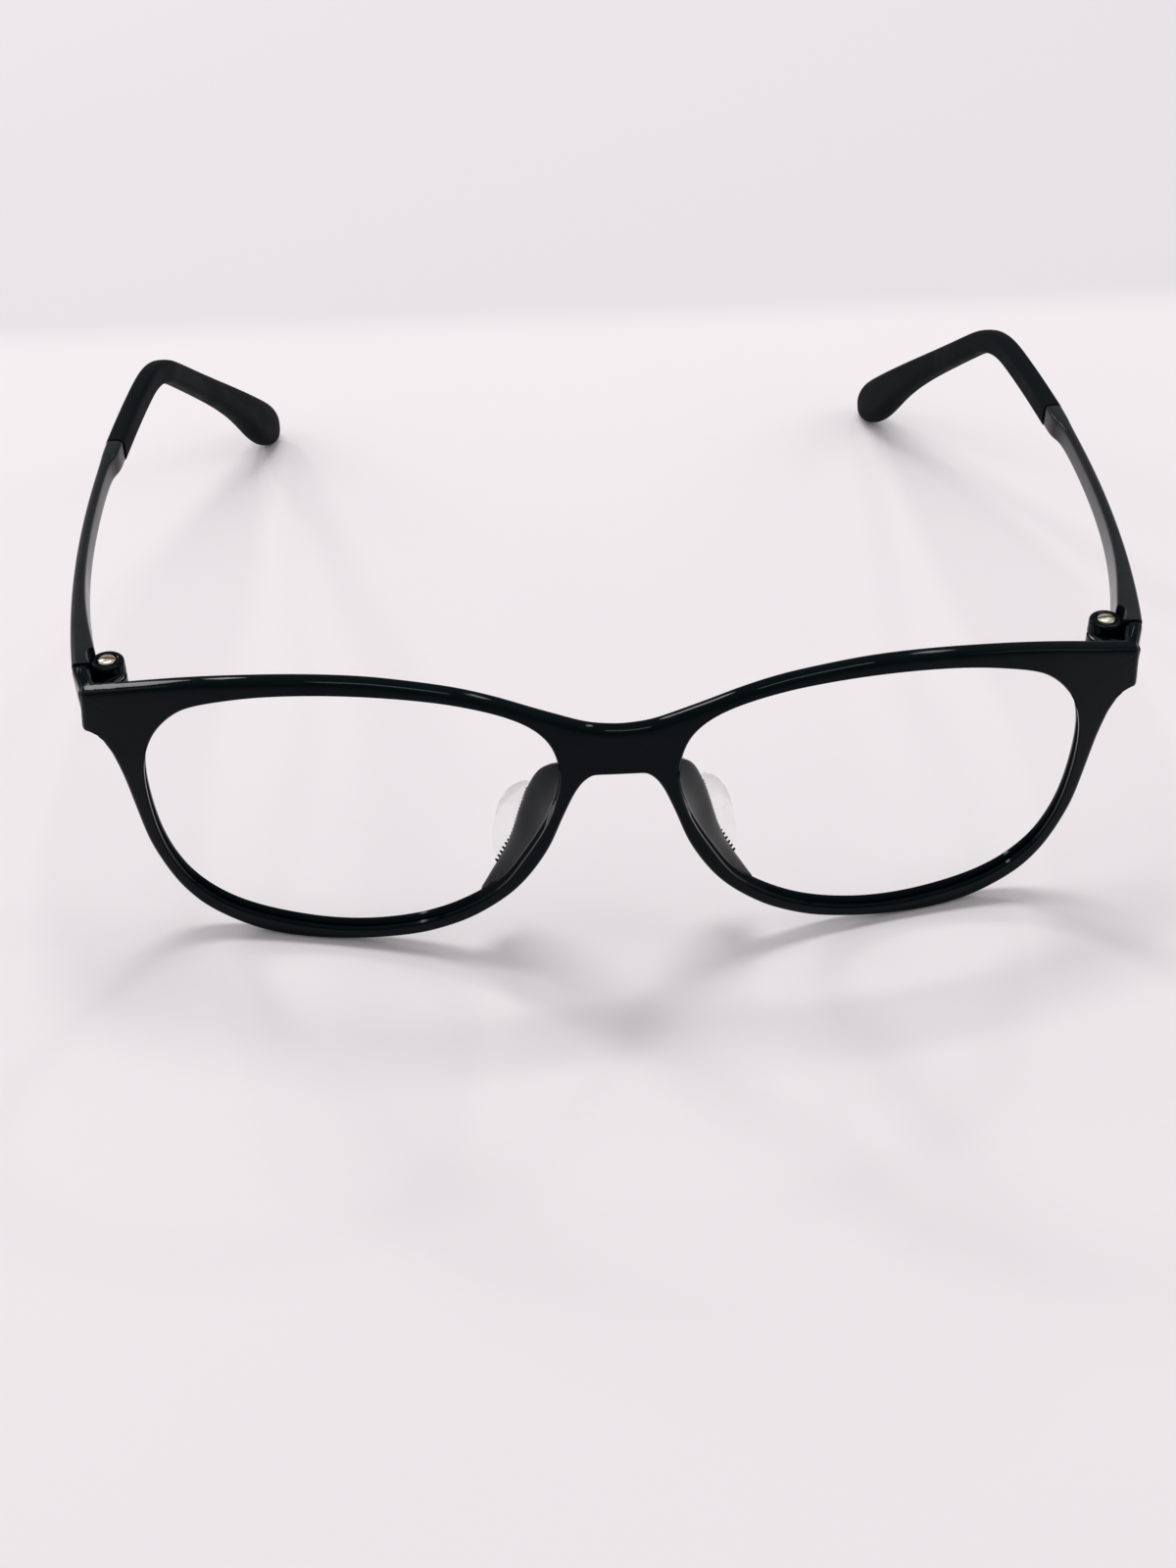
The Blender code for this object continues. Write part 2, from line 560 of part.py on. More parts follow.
def temple_line(distance):
    """Place and direction of the left temple's line at this distance behind the pin."""
    start = -BUTT_SETBACK + FIT_GAP
    run = TEMPLE_LENGTH - start
    first = corner_x() + ENDPIECE_WRAP - TEMPLE_BAR_THICKNESS / 2
    last = pin_x() - TEMPLE_TIP_INSET
    share = (distance - start) / run
    leaving, arriving = TEMPLE_SPLAY * run, -TEMPLE_TOE_IN * run
    x = (first * (2 * share ** 3 - 3 * share ** 2 + 1) + last * (3 * share ** 2 - 2 * share ** 3)
         + leaving * (share ** 3 - 2 * share ** 2 + share) + arriving * (share ** 3 - share ** 2))
    slope = ((first - last) * (6 * share ** 2 - 6 * share) + leaving * (3 * share ** 2 - 4 * share + 1)
             + arriving * (3 * share ** 2 - 2 * share)) / run
    bend = min(max((distance - BEND_DISTANCE) / BEND_RADIUS, 0.0), BEND_ANGLE)
    y = min(distance, BEND_DISTANCE) + BEND_RADIUS * math.sin(bend)
    z = -BEND_RADIUS * (1 - math.cos(bend))
    beyond = max(distance - BEND_DISTANCE - BEND_RADIUS * BEND_ANGLE, 0.0)
    y, z = y + beyond * math.cos(bend), z - beyond * math.sin(bend)
    bar_share = min(max(distance / (SEAM_DISTANCE - COLLAR_LENGTH), 0.0), 1.0)
    rise = TEMPLE_RISE * read_shares(BAR_SHARES, bar_share)[0]
    return Vector((x, y, butt_middle_height() + rise + z)), Vector((slope, math.cos(bend), -math.sin(bend)))


def temple_ring(distance, inside, outside, low, high, radius):
    """Rounded section of the temple, by its four sides' distances from its line."""
    place, along = temple_line(distance)
    bend = math.atan2(-along.z, along.y)
    along.normalize()
    side = along.cross(Vector((0.0, math.sin(bend), math.cos(bend)))).normalized()
    up = side.cross(along)
    return [place + side * x + up * z for x, z in rounded_rectangle(inside, outside, low, high, radius)]


def square_off(rings, start):
    """Slides the first ring along the temple into the plane of the butt face."""
    along = temple_line(start)[1]
    rings[0] = [point + along * ((start - point.y) / along.y) for point in rings[0]]


def sleeve_middle():
    """Middle of the sleeve and core across the temple's line, so that they widen mostly on the inside."""
    return TEMPLE_BAR_THICKNESS / 2 + SLEEVE_PROUD - SLEEVE_MOUTH_THICKNESS / 2


def temple_blank():
    """Left temple from the butt face through the collar to the end of the core, without its knuckle."""
    start, collar = -BUTT_SETBACK + FIT_GAP, SEAM_DISTANCE - COLLAR_LENGTH
    outside = TEMPLE_BAR_THICKNESS / 2
    rings = []
    for share, height_loss, thickness_loss in BAR_SHARES:
        height = blend(ENDPIECE_HEIGHT - 2 * ENDPIECE_MERGE, TEMPLE_BAR_HEIGHT, 0, 1, height_loss)
        thickness = blend(TEMPLE_BUTT_THICKNESS, TEMPLE_BAR_THICKNESS, 0, 1, thickness_loss)
        rings.append(temple_ring(blend(start, collar, 0, 1, share), outside - thickness, outside,
                                 -height / 2, height / 2, TEMPLE_EDGE_RADIUS))
    square_off(rings, start)
    collar_height = (TEMPLE_BAR_HEIGHT + SLEEVE_MOUTH_HEIGHT) / 2
    for distance in (collar + COLLAR_LENGTH / 4, SEAM_DISTANCE - FIT_GAP):
        rings.append(temple_ring(distance, outside + COLLAR_PROUD - COLLAR_THICKNESS, outside + COLLAR_PROUD,
                                 -collar_height / 2, collar_height / 2, TEMPLE_EDGE_RADIUS))
    core_width = SLEEVE_MOUTH_THICKNESS / 2 - SLEEVE_WALL - FIT_GAP
    core_height = SLEEVE_MOUTH_HEIGHT / 2 - SLEEVE_WALL - FIT_GAP
    for step in range(CORE_STEPS + 1):
        distance = blend(SEAM_DISTANCE - FIT_GAP, CORE_END_DISTANCE, 0, CORE_STEPS, step)
        rings.append(temple_ring(distance, sleeve_middle() - core_width, sleeve_middle() + core_width,
                                 -core_height, core_height, CORE_EDGE_RADIUS))
    return loft(rings)


def knuckle_outline():
    """Left temple's knuckle with its gusset, seen from above."""
    radius = BARREL_DIAMETER / 2
    circle = [(pin_x() + radius * math.cos(turn), radius * math.sin(turn))
              for turn in np.linspace(*KNUCKLE_FREE_TURN, BARREL_SIDES + 1)]
    bar_face = temple_line(GUSSET_LENGTH)[0].x + TEMPLE_BAR_THICKNESS / 2 - TEMPLE_BUTT_THICKNESS / 2
    return circle + [(bar_face, GUSSET_LENGTH / 2), (bar_face, GUSSET_LENGTH)]


def flipped(shape, mirror):
    return mirrored(shape) if mirror else shape


def make_temple(name, mirror, parent):
    """A temple: bar, butt face, scoop round the barrel, knuckle, collar and core."""
    temple = as_object(name, flipped(temple_blank(), mirror))
    low, high = middle_knuckle()
    x = -pin_x() if mirror else pin_x()
    scoop = BARREL_DIAMETER + 2 * RELIEF_GAP
    combine(temple, cylinder(scoop, high, barrel_top() + ENDPIECE_HEIGHT, x), "DIFFERENCE")
    combine(temple, cylinder(scoop, barrel_bottom() - ENDPIECE_HEIGHT, low, x), "DIFFERENCE")
    combine(temple, flipped(prism(knuckle_outline(), low, high), mirror), "UNION")
    hole = SCREW_DIAMETER + 2 * HINGE_GAP
    combine(temple, cylinder(hole, low - CUT_OVERRUN, high + CUT_OVERRUN, x), "DIFFERENCE")
    finish(temple, BLACK_SATIN, parent)


def make_sleeve(name, mirror, parent):
    """A rubber ear sleeve with the cavity that the temple's core sits in."""
    run = TEMPLE_LENGTH - SEAM_DISTANCE
    rings = []
    for share, height_gain, thickness_gain, drop_share in SLEEVE_SHARES:
        height = blend(SLEEVE_MOUTH_HEIGHT, SLEEVE_FOOT_HEIGHT, 0, 1, height_gain)
        thickness = blend(SLEEVE_MOUTH_THICKNESS, SLEEVE_FOOT_THICKNESS, 0, 1, thickness_gain)
        drop = SLEEVE_FOOT_DROP * drop_share
        radius = min(SLEEVE_EDGE_RADIUS * (1 + thickness_gain), thickness * SLEEVE_ROUND_SHARE)
        rings.append(temple_ring(SEAM_DISTANCE + share * run, sleeve_middle() - thickness / 2,
                                 sleeve_middle() + thickness / 2, -height / 2 - drop, height / 2 - drop, radius))
    sleeve = as_object(name, flipped(loft(rings), mirror))
    half_width = SLEEVE_MOUTH_THICKNESS / 2 - SLEEVE_WALL
    half_height = SLEEVE_MOUTH_HEIGHT / 2 - SLEEVE_WALL
    cavity = []
    for step in range(CORE_STEPS + 1):
        distance = blend(SEAM_DISTANCE - CUT_OVERRUN, CORE_END_DISTANCE + FIT_GAP, 0, CORE_STEPS, step)
        cavity.append(temple_ring(distance, sleeve_middle() - half_width, sleeve_middle() + half_width,
                                  -half_height, half_height, CORE_EDGE_RADIUS))
    combine(sleeve, flipped(loft(cavity), mirror), "DIFFERENCE")
    finish(sleeve, BLACK_RUBBER, parent)


def make_pad(name, mirror, parent):
    """A soft nose pad: a crowned cushion beside the wing, stepped round its rear edge into a thin lobe."""
    first, last = PAD_SPAN_SHARES
    front, middle, rear = PAD_DEPTH_SHARES
    seat = -WING_ROOT_THICKNESS / 2 - FIT_GAP
    rings = []
    for step in range(PAD_STEPS):
        along = (step + 0.5) / PAD_STEPS
        share = blend(first, last, 0, 1, along)
        crown = math.sqrt(1 - abs(2 * along - 1) ** PAD_CROWN_POWER)
        reach = RELIEF_GAP + PAD_EDGE_THICKNESS + PAD_LOBE_REACH * math.sqrt(1 - (2 * along - 1) ** 2)
        face = seat - blend(PAD_EDGE_THICKNESS, PAD_THICKNESS, 0, 1, crown)
        ledge = blend(seat, PAD_STEP_HEIGHT, 0, 1, crown)
        root = front + (1 - crown) * PAD_END_SHARE
        edge = PAD_EDGE_THICKNESS / 2
        near = [(root, seat, 0), (max(root, middle), seat, 0), (1, seat, RELIEF_GAP),
                (1, ledge, RELIEF_GAP + edge), (1, min(edge, ledge), reach)]
        far = [(1, min(edge, ledge) - 2 * edge, reach), (1, face / 2 - edge, reach * PAD_LOBE_MIDDLE_SHARE),
               (rear, face, 0), (max(root, middle), face, 0), (root, seat - PAD_EDGE_THICKNESS, 0)]
        rings.append([wing_point(share, *place) for place in near + far])
    finish(as_object(name, flipped(loft(rings), mirror)), CLEAR_SILICONE, parent)


def make_screw(name, x, parent):
    """A hinge screw with a low domed and slotted head."""
    radius, head = SCREW_DIAMETER / 2, SCREW_HEAD_DIAMETER / 2
    seat = barrel_top() - SCREW_HEAD_HEIGHT
    dome = [(head * math.cos(turn), barrel_top() + SCREW_DOME_HEIGHT * math.sin(turn))
            for turn in SCREW_DOME_TURNS]
    tip = barrel_bottom() + HINGE_GAP
    profile = [(radius * SCREW_TIP_SHARE, tip), (radius, tip + HINGE_GAP), (radius, seat), (head, seat)]
    profile += dome
    screw = as_object(name, turned(profile, x))
    slot_bottom = barrel_top() + SCREW_DOME_HEIGHT - SCREW_SLOT_DEPTH
    half_width, half_length = SCREW_SLOT_WIDTH / 2, head + CUT_OVERRUN
    slot = ((x - half_length, -half_width), (x + half_length, -half_width),
            (x + half_length, half_width), (x - half_length, half_width))
    combine(screw, prism(slot, slot_bottom, barrel_top() + CUT_OVERRUN), "DIFFERENCE")
    finish(screw, PALE_BRASS, parent)


def make_ring(name, x, diameter, bottom, top, material_values, parent):
    """A round ring about the screw: a threaded insert or a washer."""
    ring = as_object(name, cylinder(diameter, bottom, top, x))
    hole = cylinder(SCREW_DIAMETER + 2 * HINGE_GAP, bottom - CUT_OVERRUN, top + CUT_OVERRUN, x)
    combine(ring, hole, "DIFFERENCE")
    finish(ring, material_values, parent)


def new_empty(name, location, parent=None):
    made = bpy.data.objects.new(name, None)
    made.location = location
    made.parent = parent
    bpy.context.collection.objects.link(made)
    return made


def world_points():
    bpy.context.view_layer.update()
    return np.array([piece.matrix_world @ vert.co for piece in bpy.context.scene.objects
                     if piece.type == "MESH" for vert in piece.data.vertices])


def set_on_table(root):
    """Leans the whole frame until rims and temple tips both touch Z = 0, and centres it in X and Y."""
    points = world_points()
    middle = points[:, 1].mean()
    front, rear = points[points[:, 1] < middle][:, 1:], points[points[:, 1] >= middle][:, 1:]
    lean = 0.0
    for _ in range(20):
        lows = [side[int((side[:, 0] * math.sin(lean) + side[:, 1] * math.cos(lean)).argmin())]
                for side in (front, rear)]
        lean = -math.atan2(lows[1][1] - lows[0][1], lows[1][0] - lows[0][0])
    root.rotation_euler = (lean, 0, 0)
    points = world_points()
    root.location = (0, -(points[:, 1].min() + points[:, 1].max()) / 2, -points[:, 2].min())
    bpy.context.view_layer.update()


def main():
    for old in list(bpy.data.objects):
        bpy.data.objects.remove(old)
    root = new_empty("frame", (0, 0, 0))
    make_front(root)
    low, high = middle_knuckle()
    for side, mirror in (("left", False), ("right", True)):
        x = -pin_x() if mirror else pin_x()
        hinge = new_empty("hinge_" + side, (x, 0, (barrel_bottom() + barrel_top()) / 2), root)
        make_temple("temple_" + side, mirror, hinge)
        make_sleeve("temple_sleeve_" + side, mirror, hinge)
        make_pad("nose_pad_" + side, mirror, root)
        make_screw("hinge_screw_" + side, x, root)
        make_ring("hinge_nut_" + side, x, NUT_DIAMETER, barrel_bottom() + HINGE_GAP / 2,
                  barrel_bottom() + HINGE_GAP / 2 + NUT_LENGTH, PALE_BRASS, root)
        make_ring("hinge_washer_" + side, x, BARREL_DIAMETER - 2 * HINGE_GAP, high + WASHER_GAP,
                  high + WASHER_GAP + WASHER_THICKNESS, STEEL, root)
    set_on_table(root)
    for side in ("left", "right"):
        hinge = bpy.data.objects["hinge_" + side]
        print("hinge", side, [round(value, 5) for value in hinge.matrix_world.translation],
              [round(value, 5) for value in hinge.matrix_world.col[2][:3]])


main()
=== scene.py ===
import math

import bmesh
import bpy
from mathutils import Matrix, Vector


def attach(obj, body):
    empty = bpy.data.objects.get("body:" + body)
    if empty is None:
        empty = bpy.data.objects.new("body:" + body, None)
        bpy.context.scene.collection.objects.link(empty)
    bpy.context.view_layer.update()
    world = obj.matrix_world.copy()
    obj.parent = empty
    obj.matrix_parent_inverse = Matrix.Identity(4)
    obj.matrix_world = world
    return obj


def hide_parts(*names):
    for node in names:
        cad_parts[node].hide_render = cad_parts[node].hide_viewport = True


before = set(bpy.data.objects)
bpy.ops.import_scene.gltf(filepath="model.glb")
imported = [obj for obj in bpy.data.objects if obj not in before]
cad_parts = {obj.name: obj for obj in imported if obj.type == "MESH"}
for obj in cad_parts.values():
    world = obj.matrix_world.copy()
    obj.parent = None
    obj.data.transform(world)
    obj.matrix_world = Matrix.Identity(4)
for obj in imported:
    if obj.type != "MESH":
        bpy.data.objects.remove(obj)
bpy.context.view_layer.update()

# The photograph: the camera stands in front of the frame, some 0.3 m away, and looks down at it by
# 40 degrees, so near that the rims look much larger than the temple tips behind them.
camera_place = (-0.01204, -0.25794, 0.18679)
camera_turn, camera_dip, camera_roll = -2.49, 39.93, -0.91
photo_camera = bpy.data.cameras.new("photo_camera")
photo_camera.sensor_width = 36.0
photo_camera.lens = 44.856
photo_camera.clip_start = 0.01
viewpoint = bpy.data.objects.new("photo_camera", photo_camera)
bpy.context.scene.collection.objects.link(viewpoint)
viewpoint.matrix_world = (Matrix.Translation(camera_place)
                          @ Matrix.Rotation(math.radians(camera_turn), 4, "Z")
                          @ Matrix.Rotation(math.radians(90 - camera_dip), 4, "X")
                          @ Matrix.Rotation(math.radians(camera_roll), 4, "Z"))
bpy.context.scene.camera = viewpoint
bpy.context.scene.view_settings.view_transform = "Standard"


# The table: a smooth white board with a faint cool-pink cast, that turns a little greyer behind the
# temple tips where the board ends. It is stage, and only carries the frame's shadows.
def add(tree, kind, sockets=None, **settings):
    """A shader node with its settings, and with each named socket set or fed."""
    made = tree.nodes.new("ShaderNode" + kind)
    for name, value in settings.items():
        setattr(made, name, value)
    for name, value in (sockets or {}).items():
        if isinstance(value, bpy.types.NodeSocket):
            tree.links.new(value, made.inputs[name])
        else:
            made.inputs[name].default_value = value
    return made


def new_finish(name):
    """A material, its node tree and its Principled shader."""
    material = bpy.data.materials.new(name)
    material.use_nodes = True
    return material, material.node_tree, material.node_tree.nodes["Principled BSDF"]


def as_piece(name, shape, material):
    """An object at the origin made from a bmesh, with smooth faces and one material."""
    for face in shape.faces:
        face.smooth = True
    mesh = bpy.data.meshes.new(name)
    shape.to_mesh(mesh)
    shape.free()
    mesh.materials.append(material)
    piece = bpy.data.objects.new(name, mesh)
    bpy.context.scene.collection.objects.link(piece)
    return piece


board, tree, shader = new_finish("white_board")
place = add(tree, "TexCoord").outputs["Object"]
behind = add(tree, "SeparateXYZ", {"Vector": place}).outputs["Y"]
board_end, board_fade = 0.108, 0.124
tone = add(tree, "MapRange", {"Value": behind, "From Min": board_end, "From Max": board_fade},
           interpolation_type="SMOOTHSTEP").outputs["Result"]
clouds = add(tree, "TexNoise", {"Vector": place, "Scale": 9.0, "Detail": 2.0}).outputs["Fac"]
near = add(tree, "Mix", {"Factor": clouds, 6: (0.895, 0.844, 0.864, 1), 7: (0.912, 0.862, 0.880, 1)},
           data_type="RGBA").outputs[2]
colour = add(tree, "Mix", {"Factor": tone, 6: near, 7: (0.803, 0.763, 0.787, 1)},
             data_type="RGBA").outputs[2]
tree.links.new(colour, shader.inputs["Base Color"])
shader.inputs["Roughness"].default_value = 0.8
shader.inputs["Specular IOR Level"].default_value = 0.0
table_half_width = 1.6
table_top = bmesh.new()
bmesh.ops.create_grid(table_top, x_segments=2, y_segments=2, size=table_half_width)
table = as_piece("table", table_top, board)


# The light: small soft boxes behind the frame that streak its polished top faces, a wide bank overhead
# for the thin lines along its edges, a weak box from each side, and a white room all round.
def soft_box(name, place, width, depth, watts):
    """A rectangular area lamp at a place, turned to the frame."""
    lamp = bpy.data.lights.new(name, "AREA")
    lamp.shape, lamp.size, lamp.size_y, lamp.energy = "RECTANGLE", width, depth, watts
    made = bpy.data.objects.new(name, lamp)
    bpy.context.scene.collection.objects.link(made)
    made.matrix_world = Matrix.Translation(place) @ Vector(place).to_track_quat("Z", "Y").to_matrix().to_4x4()


soft_box("rear_box_right", (-1.206, 1.437, 1.150), 0.36, 0.34, 6.4)
soft_box("rear_window_right", (-0.867, 1.501, 1.354), 0.15, 0.15, 1.6)
soft_box("rear_window_left", (0.777, 1.404, 1.512), 0.20, 0.20, 1.8)
soft_box("overhead_bank", (-0.10, 0.55, 1.90), 1.10, 0.40, 14.0)
soft_box("side_box_left", (0.9, -0.1, 0.7), 0.50, 0.50, 1.1)
soft_box("side_box_right", (-0.9, 0.2, 0.6), 0.50, 0.50, 1.1)
room = bpy.data.worlds.new("white_room")
bpy.context.scene.world = room
room.use_nodes = True
sky = room.node_tree.nodes["Background"]
sky.inputs["Color"].default_value = (0.98, 0.98, 1.0, 1.0)
sky.inputs["Strength"].default_value = 0.45


# The front: one injection moulding in black plastic with both rims, the bridge, the endpieces, the
# outer hinge knuckles and the two nose wings. It comes polished from the mould, and handling dulls it.
def effect(name, inputs, outputs):
    """An empty shader group with named value inputs and outputs, and its two end nodes."""
    group = bpy.data.node_groups.new(name, "ShaderNodeTree")
    for title, value in inputs.items():
        group.interface.new_socket(title, in_out="INPUT", socket_type="NodeSocketFloat").default_value = value
    for title in outputs:
        group.interface.new_socket(title, in_out="OUTPUT", socket_type="NodeSocketFloat")
    return group, group.nodes.new("NodeGroupInput").outputs, group.nodes.new("NodeGroupOutput").inputs


def use(tree, group, **values):
    """Places an effect in a material with its own values."""
    made = tree.nodes.new("ShaderNodeGroup")
    made.node_tree = group
    for title, value in values.items():
        made.inputs[title].default_value = value
    return made.outputs


def fill_grain():
    """Mould texture: two sizes of pits in the skin of the steel, as a height from 0 to 1."""
    group, given, result = effect("mould_grain", {"Scale": 5000.0, "Coarse": 0.3}, ("Height",))
    place = add(group, "TexCoord").outputs["Object"]
    fine = add(group, "TexNoise", {"Vector": place, "Scale": given["Scale"], "Detail": 2.0}).outputs["Fac"]
    coarse_share = 0.22
    wide = add(group, "Math", {0: given["Scale"], 1: coarse_share}, operation="MULTIPLY").outputs[0]
    coarse = add(group, "TexNoise", {"Vector": place, "Scale": wide, "Detail": 1.0}).outputs["Fac"]
    mixed = add(group, "Mix", {"Factor": given["Coarse"], 2: fine, 3: coarse}).outputs[0]
    group.links.new(mixed, result["Height"])
    return group


def fill_handling():
    """Faint smears left by fingers and a cloth, as a mask from 0 to 1."""
    group, given, result = effect("handling_smears", {"Scale": 90.0, "Share": 0.5}, ("Mask",))
    place = add(group, "TexCoord").outputs["Object"]
    bend = add(group, "TexNoise", {"Vector": place, "Scale": given["Scale"], "Detail": 4.0,
                                   "Roughness": 0.6, "Distortion": 1.2}).outputs["Fac"]
    fade = 0.16
    low = add(group, "Math", {0: given["Share"], 1: fade}, operation="SUBTRACT").outputs[0]
    high = add(group, "Math", {0: given["Share"], 1: fade}, operation="ADD").outputs[0]
    mask = add(group, "MapRange", {"Value": bend, "From Min": low, "From Max": high},
               interpolation_type="SMOOTHSTEP").outputs["Result"]
    group.links.new(mask, result["Mask"])
    return group


def fill_hairlines():
    """Hair-fine wipe marks in two directions, as a mask from 0 to 1."""
    group, given, result = effect("hairlines", {"Scale": 260.0, "Share": 0.7}, ("Mask",))
    place = add(group, "TexCoord").outputs["Object"]
    marks = []
    for turn in (25.0, -50.0):
        laid = add(group, "Mapping", {"Vector": place, "Rotation": (0.2, math.radians(turn), 0.3),
                                      "Scale": (1.0, 14.0, 30.0)}).outputs["Vector"]
        streak = add(group, "TexNoise", {"Vector": laid, "Scale": given["Scale"],
                                         "Detail": 2.0}).outputs["Fac"]
        marks.append(add(group, "MapRange", {"Value": streak, "From Min": given["Share"],
                                             "From Max": 0.86}).outputs["Result"])
    mask = add(group, "Math", {0: marks[0], 1: marks[1]}, operation="MAXIMUM").outputs[0]
    group.links.new(mask, result["Mask"])
    return group


def fill_dust():
    """A few specks of dust, as a mask from 0 to 1."""
    group, given, result = effect("dust_specks", {"Scale": 700.0, "Size": 0.09}, ("Mask",))
    place = add(group, "TexCoord").outputs["Object"]
    cells = add(group, "TexVoronoi", {"Vector": place, "Scale": given["Scale"]})
    chance = add(group, "SeparateXYZ", {"Vector": cells.outputs["Color"]}).outputs["X"]
    clean_share = 0.86
    chosen = add(group, "Math", {0: chance, 1: clean_share}, operation="GREATER_THAN").outputs[0]
    spot = add(group, "MapRange", {"Value": cells.outputs["Distance"], "From Min": given["Size"],
                                   "From Max": 0.0}).outputs["Result"]
    mask = add(group, "Math", {0: chosen, 1: spot}, operation="MULTIPLY").outputs[0]
    group.links.new(mask, result["Mask"])
    return group


mould_grain, handling_smears = fill_grain(), fill_handling()
hairlines, dust_specks = fill_hairlines(), fill_dust()


def ramped(tree, mask, low, high):
    """A value that goes from one number to another with a mask."""
    return add(tree, "MapRange", {"Value": mask, "To Min": low, "To Max": high}).outputs["Result"]


def tinted(tree, mask, first, second):
    """A colour that goes from one to another with a mask."""
    return add(tree, "Mix", {"Factor": mask, 6: (*first, 1.0), 7: (*second, 1.0)},
               data_type="RGBA").outputs[2]


def within(boxes, item):
    """Whether an edge or a face lies wholly in one of the boxes, on either side of the frame's middle."""
    return any(all(low <= value <= high for vert in item.verts
                   for low, value, high in zip(lows, (abs(vert.co.x), vert.co.y, vert.co.z), highs))
               for lows, highs in boxes)


def once(items):
    """The items in their order, each one only once."""
    return list(dict.fromkeys(items))


weld, soft_weld, soft_step, soft_crease = 0.000002, 0.00005, 0.0012, 0.35
flat_turn, even_turn = math.radians(1), math.radians(3)
pair_turn, pair_skew = math.radians(14), math.radians(50)
most_cuts, open_edge = 7, 9.0


def cut_evenly(shape, boxes):
    """Cuts the faces in the boxes into even triangles whose sides are at most the soft step."""
    inner = [edge for edge in shape.edges if within(boxes, edge)]
    bmesh.ops.dissolve_limit(shape, angle_limit=even_turn, edges=inner,
                             verts=once(vert for edge in inner for vert in edge.verts))
    bmesh.ops.triangulate(shape, faces=[face for face in shape.faces if len(face.verts) > 3])
    for _ in range(most_cuts):
        wide = [edge for edge in shape.edges if edge.calc_length() > soft_step and within(boxes, edge)]
        if not wide:
            break
        bmesh.ops.subdivide_edges(shape, edges=wide, cuts=1)
        bmesh.ops.triangulate(shape, faces=[face for face in shape.faces if len(face.verts) > 3])
        flat = [edge for edge in shape.edges
                if edge.calc_face_angle(open_edge) < flat_turn and within(boxes, edge)]
        bmesh.ops.beautify_fill(shape, edges=flat,
                                faces=once(face for edge in flat for face in edge.link_faces))


def dressed(node, name, material, crease_degrees, rounds, soft=(), ease=None):
    """A welded copy of a solid, with its facets rounded between the edges that stay crisp.

    In the soft boxes the edges are rounded over a little, so faces there are first cut to an even size.
    """
    shape = bmesh.new()
    shape.from_mesh(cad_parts[node].data)
    bmesh.ops.remove_doubles(shape, verts=shape.verts, dist=weld)
    if ease:
        for vert in shape.verts:
            ease(vert.co)
    bmesh.ops.dissolve_degenerate(shape, edges=shape.edges, dist=weld)
    inner = once(vert for edge in shape.edges if within(soft, edge) for vert in edge.verts)
    bmesh.ops.remove_doubles(shape, verts=inner, dist=soft_weld)
    cut_evenly(shape, soft)
    bmesh.ops.join_triangles(shape, faces=[face for face in shape.faces if not within(soft, face)],
                             angle_face_threshold=pair_turn, angle_shape_threshold=pair_skew)
    crease = shape.edges.layers.float.new("crease_edge")
    for edge in shape.edges:
        if edge.calc_face_angle(0.0) > math.radians(crease_degrees):
            edge[crease] = soft_crease if within(soft, edge) else 1.0
            edge.smooth = within(soft, edge)
    piece = as_piece(name, shape, material)
    modifier = piece.modifiers.new("rounded", "SUBSURF")
    modifier.levels = modifier.render_levels = rounds
    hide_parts(node)
    return piece


gloss, tree, shader = new_finish("polished_black")
smears = use(tree, handling_smears, Scale=70.0, Share=0.52)["Mask"]
wipes = use(tree, hairlines, Scale=240.0, Share=0.70)["Mask"]
tree.links.new(tinted(tree, smears, (0.0002, 0.0028, 0.0040), (0.0006, 0.0036, 0.0048)),
               shader.inputs["Base Color"])
sheen = add(tree, "Math", {0: ramped(tree, smears, 0.035, 0.09), 1: ramped(tree, wipes, 0.0, 0.06)},
            operation="ADD").outputs[0]
tree.links.new(sheen, shader.inputs["Roughness"])
skin = use(tree, mould_grain, Scale=900.0, Coarse=0.7)["Height"]
bump = add(tree, "Bump", {"Height": skin, "Strength": 0.12, "Distance": 0.00002}).outputs["Normal"]
tree.links.new(bump, shader.inputs["Normal"])
shader.inputs["Specular IOR Level"].default_value = 0.055
web_inside, web_outside, web_front, web_top, old_web_top = 0.0612, 0.0664, -0.0600, 0.0391, 0.0409
foot_inside, foot_front, foot_back, foot_low, foot_level = 0.0655, -0.0625, -0.0570, 0.0347, 0.0350
endpiece_face = ((0.0614, -0.08, 0.027), (0.08, -0.0574, 0.06))
endpiece_side = ((0.0662, -0.08, 0.027), (0.08, 0.0, 0.06))


def ease_web(place):
    """Lowers the web between barrel and endpiece to a slope, and tucks its foot under the endpiece."""
    across = abs(place.x)
    if web_inside < across < web_outside and place.y > web_front and web_top < place.z < old_web_top:
        place.z = web_top
    if across > foot_inside and foot_front < place.y < foot_back and place.z < foot_low:
        place.z = foot_level


front = dressed("front", "front_moulding", gloss, crease_degrees=36, rounds=2,
                soft=(endpiece_face, endpiece_side), ease=ease_web)
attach(front, "front")


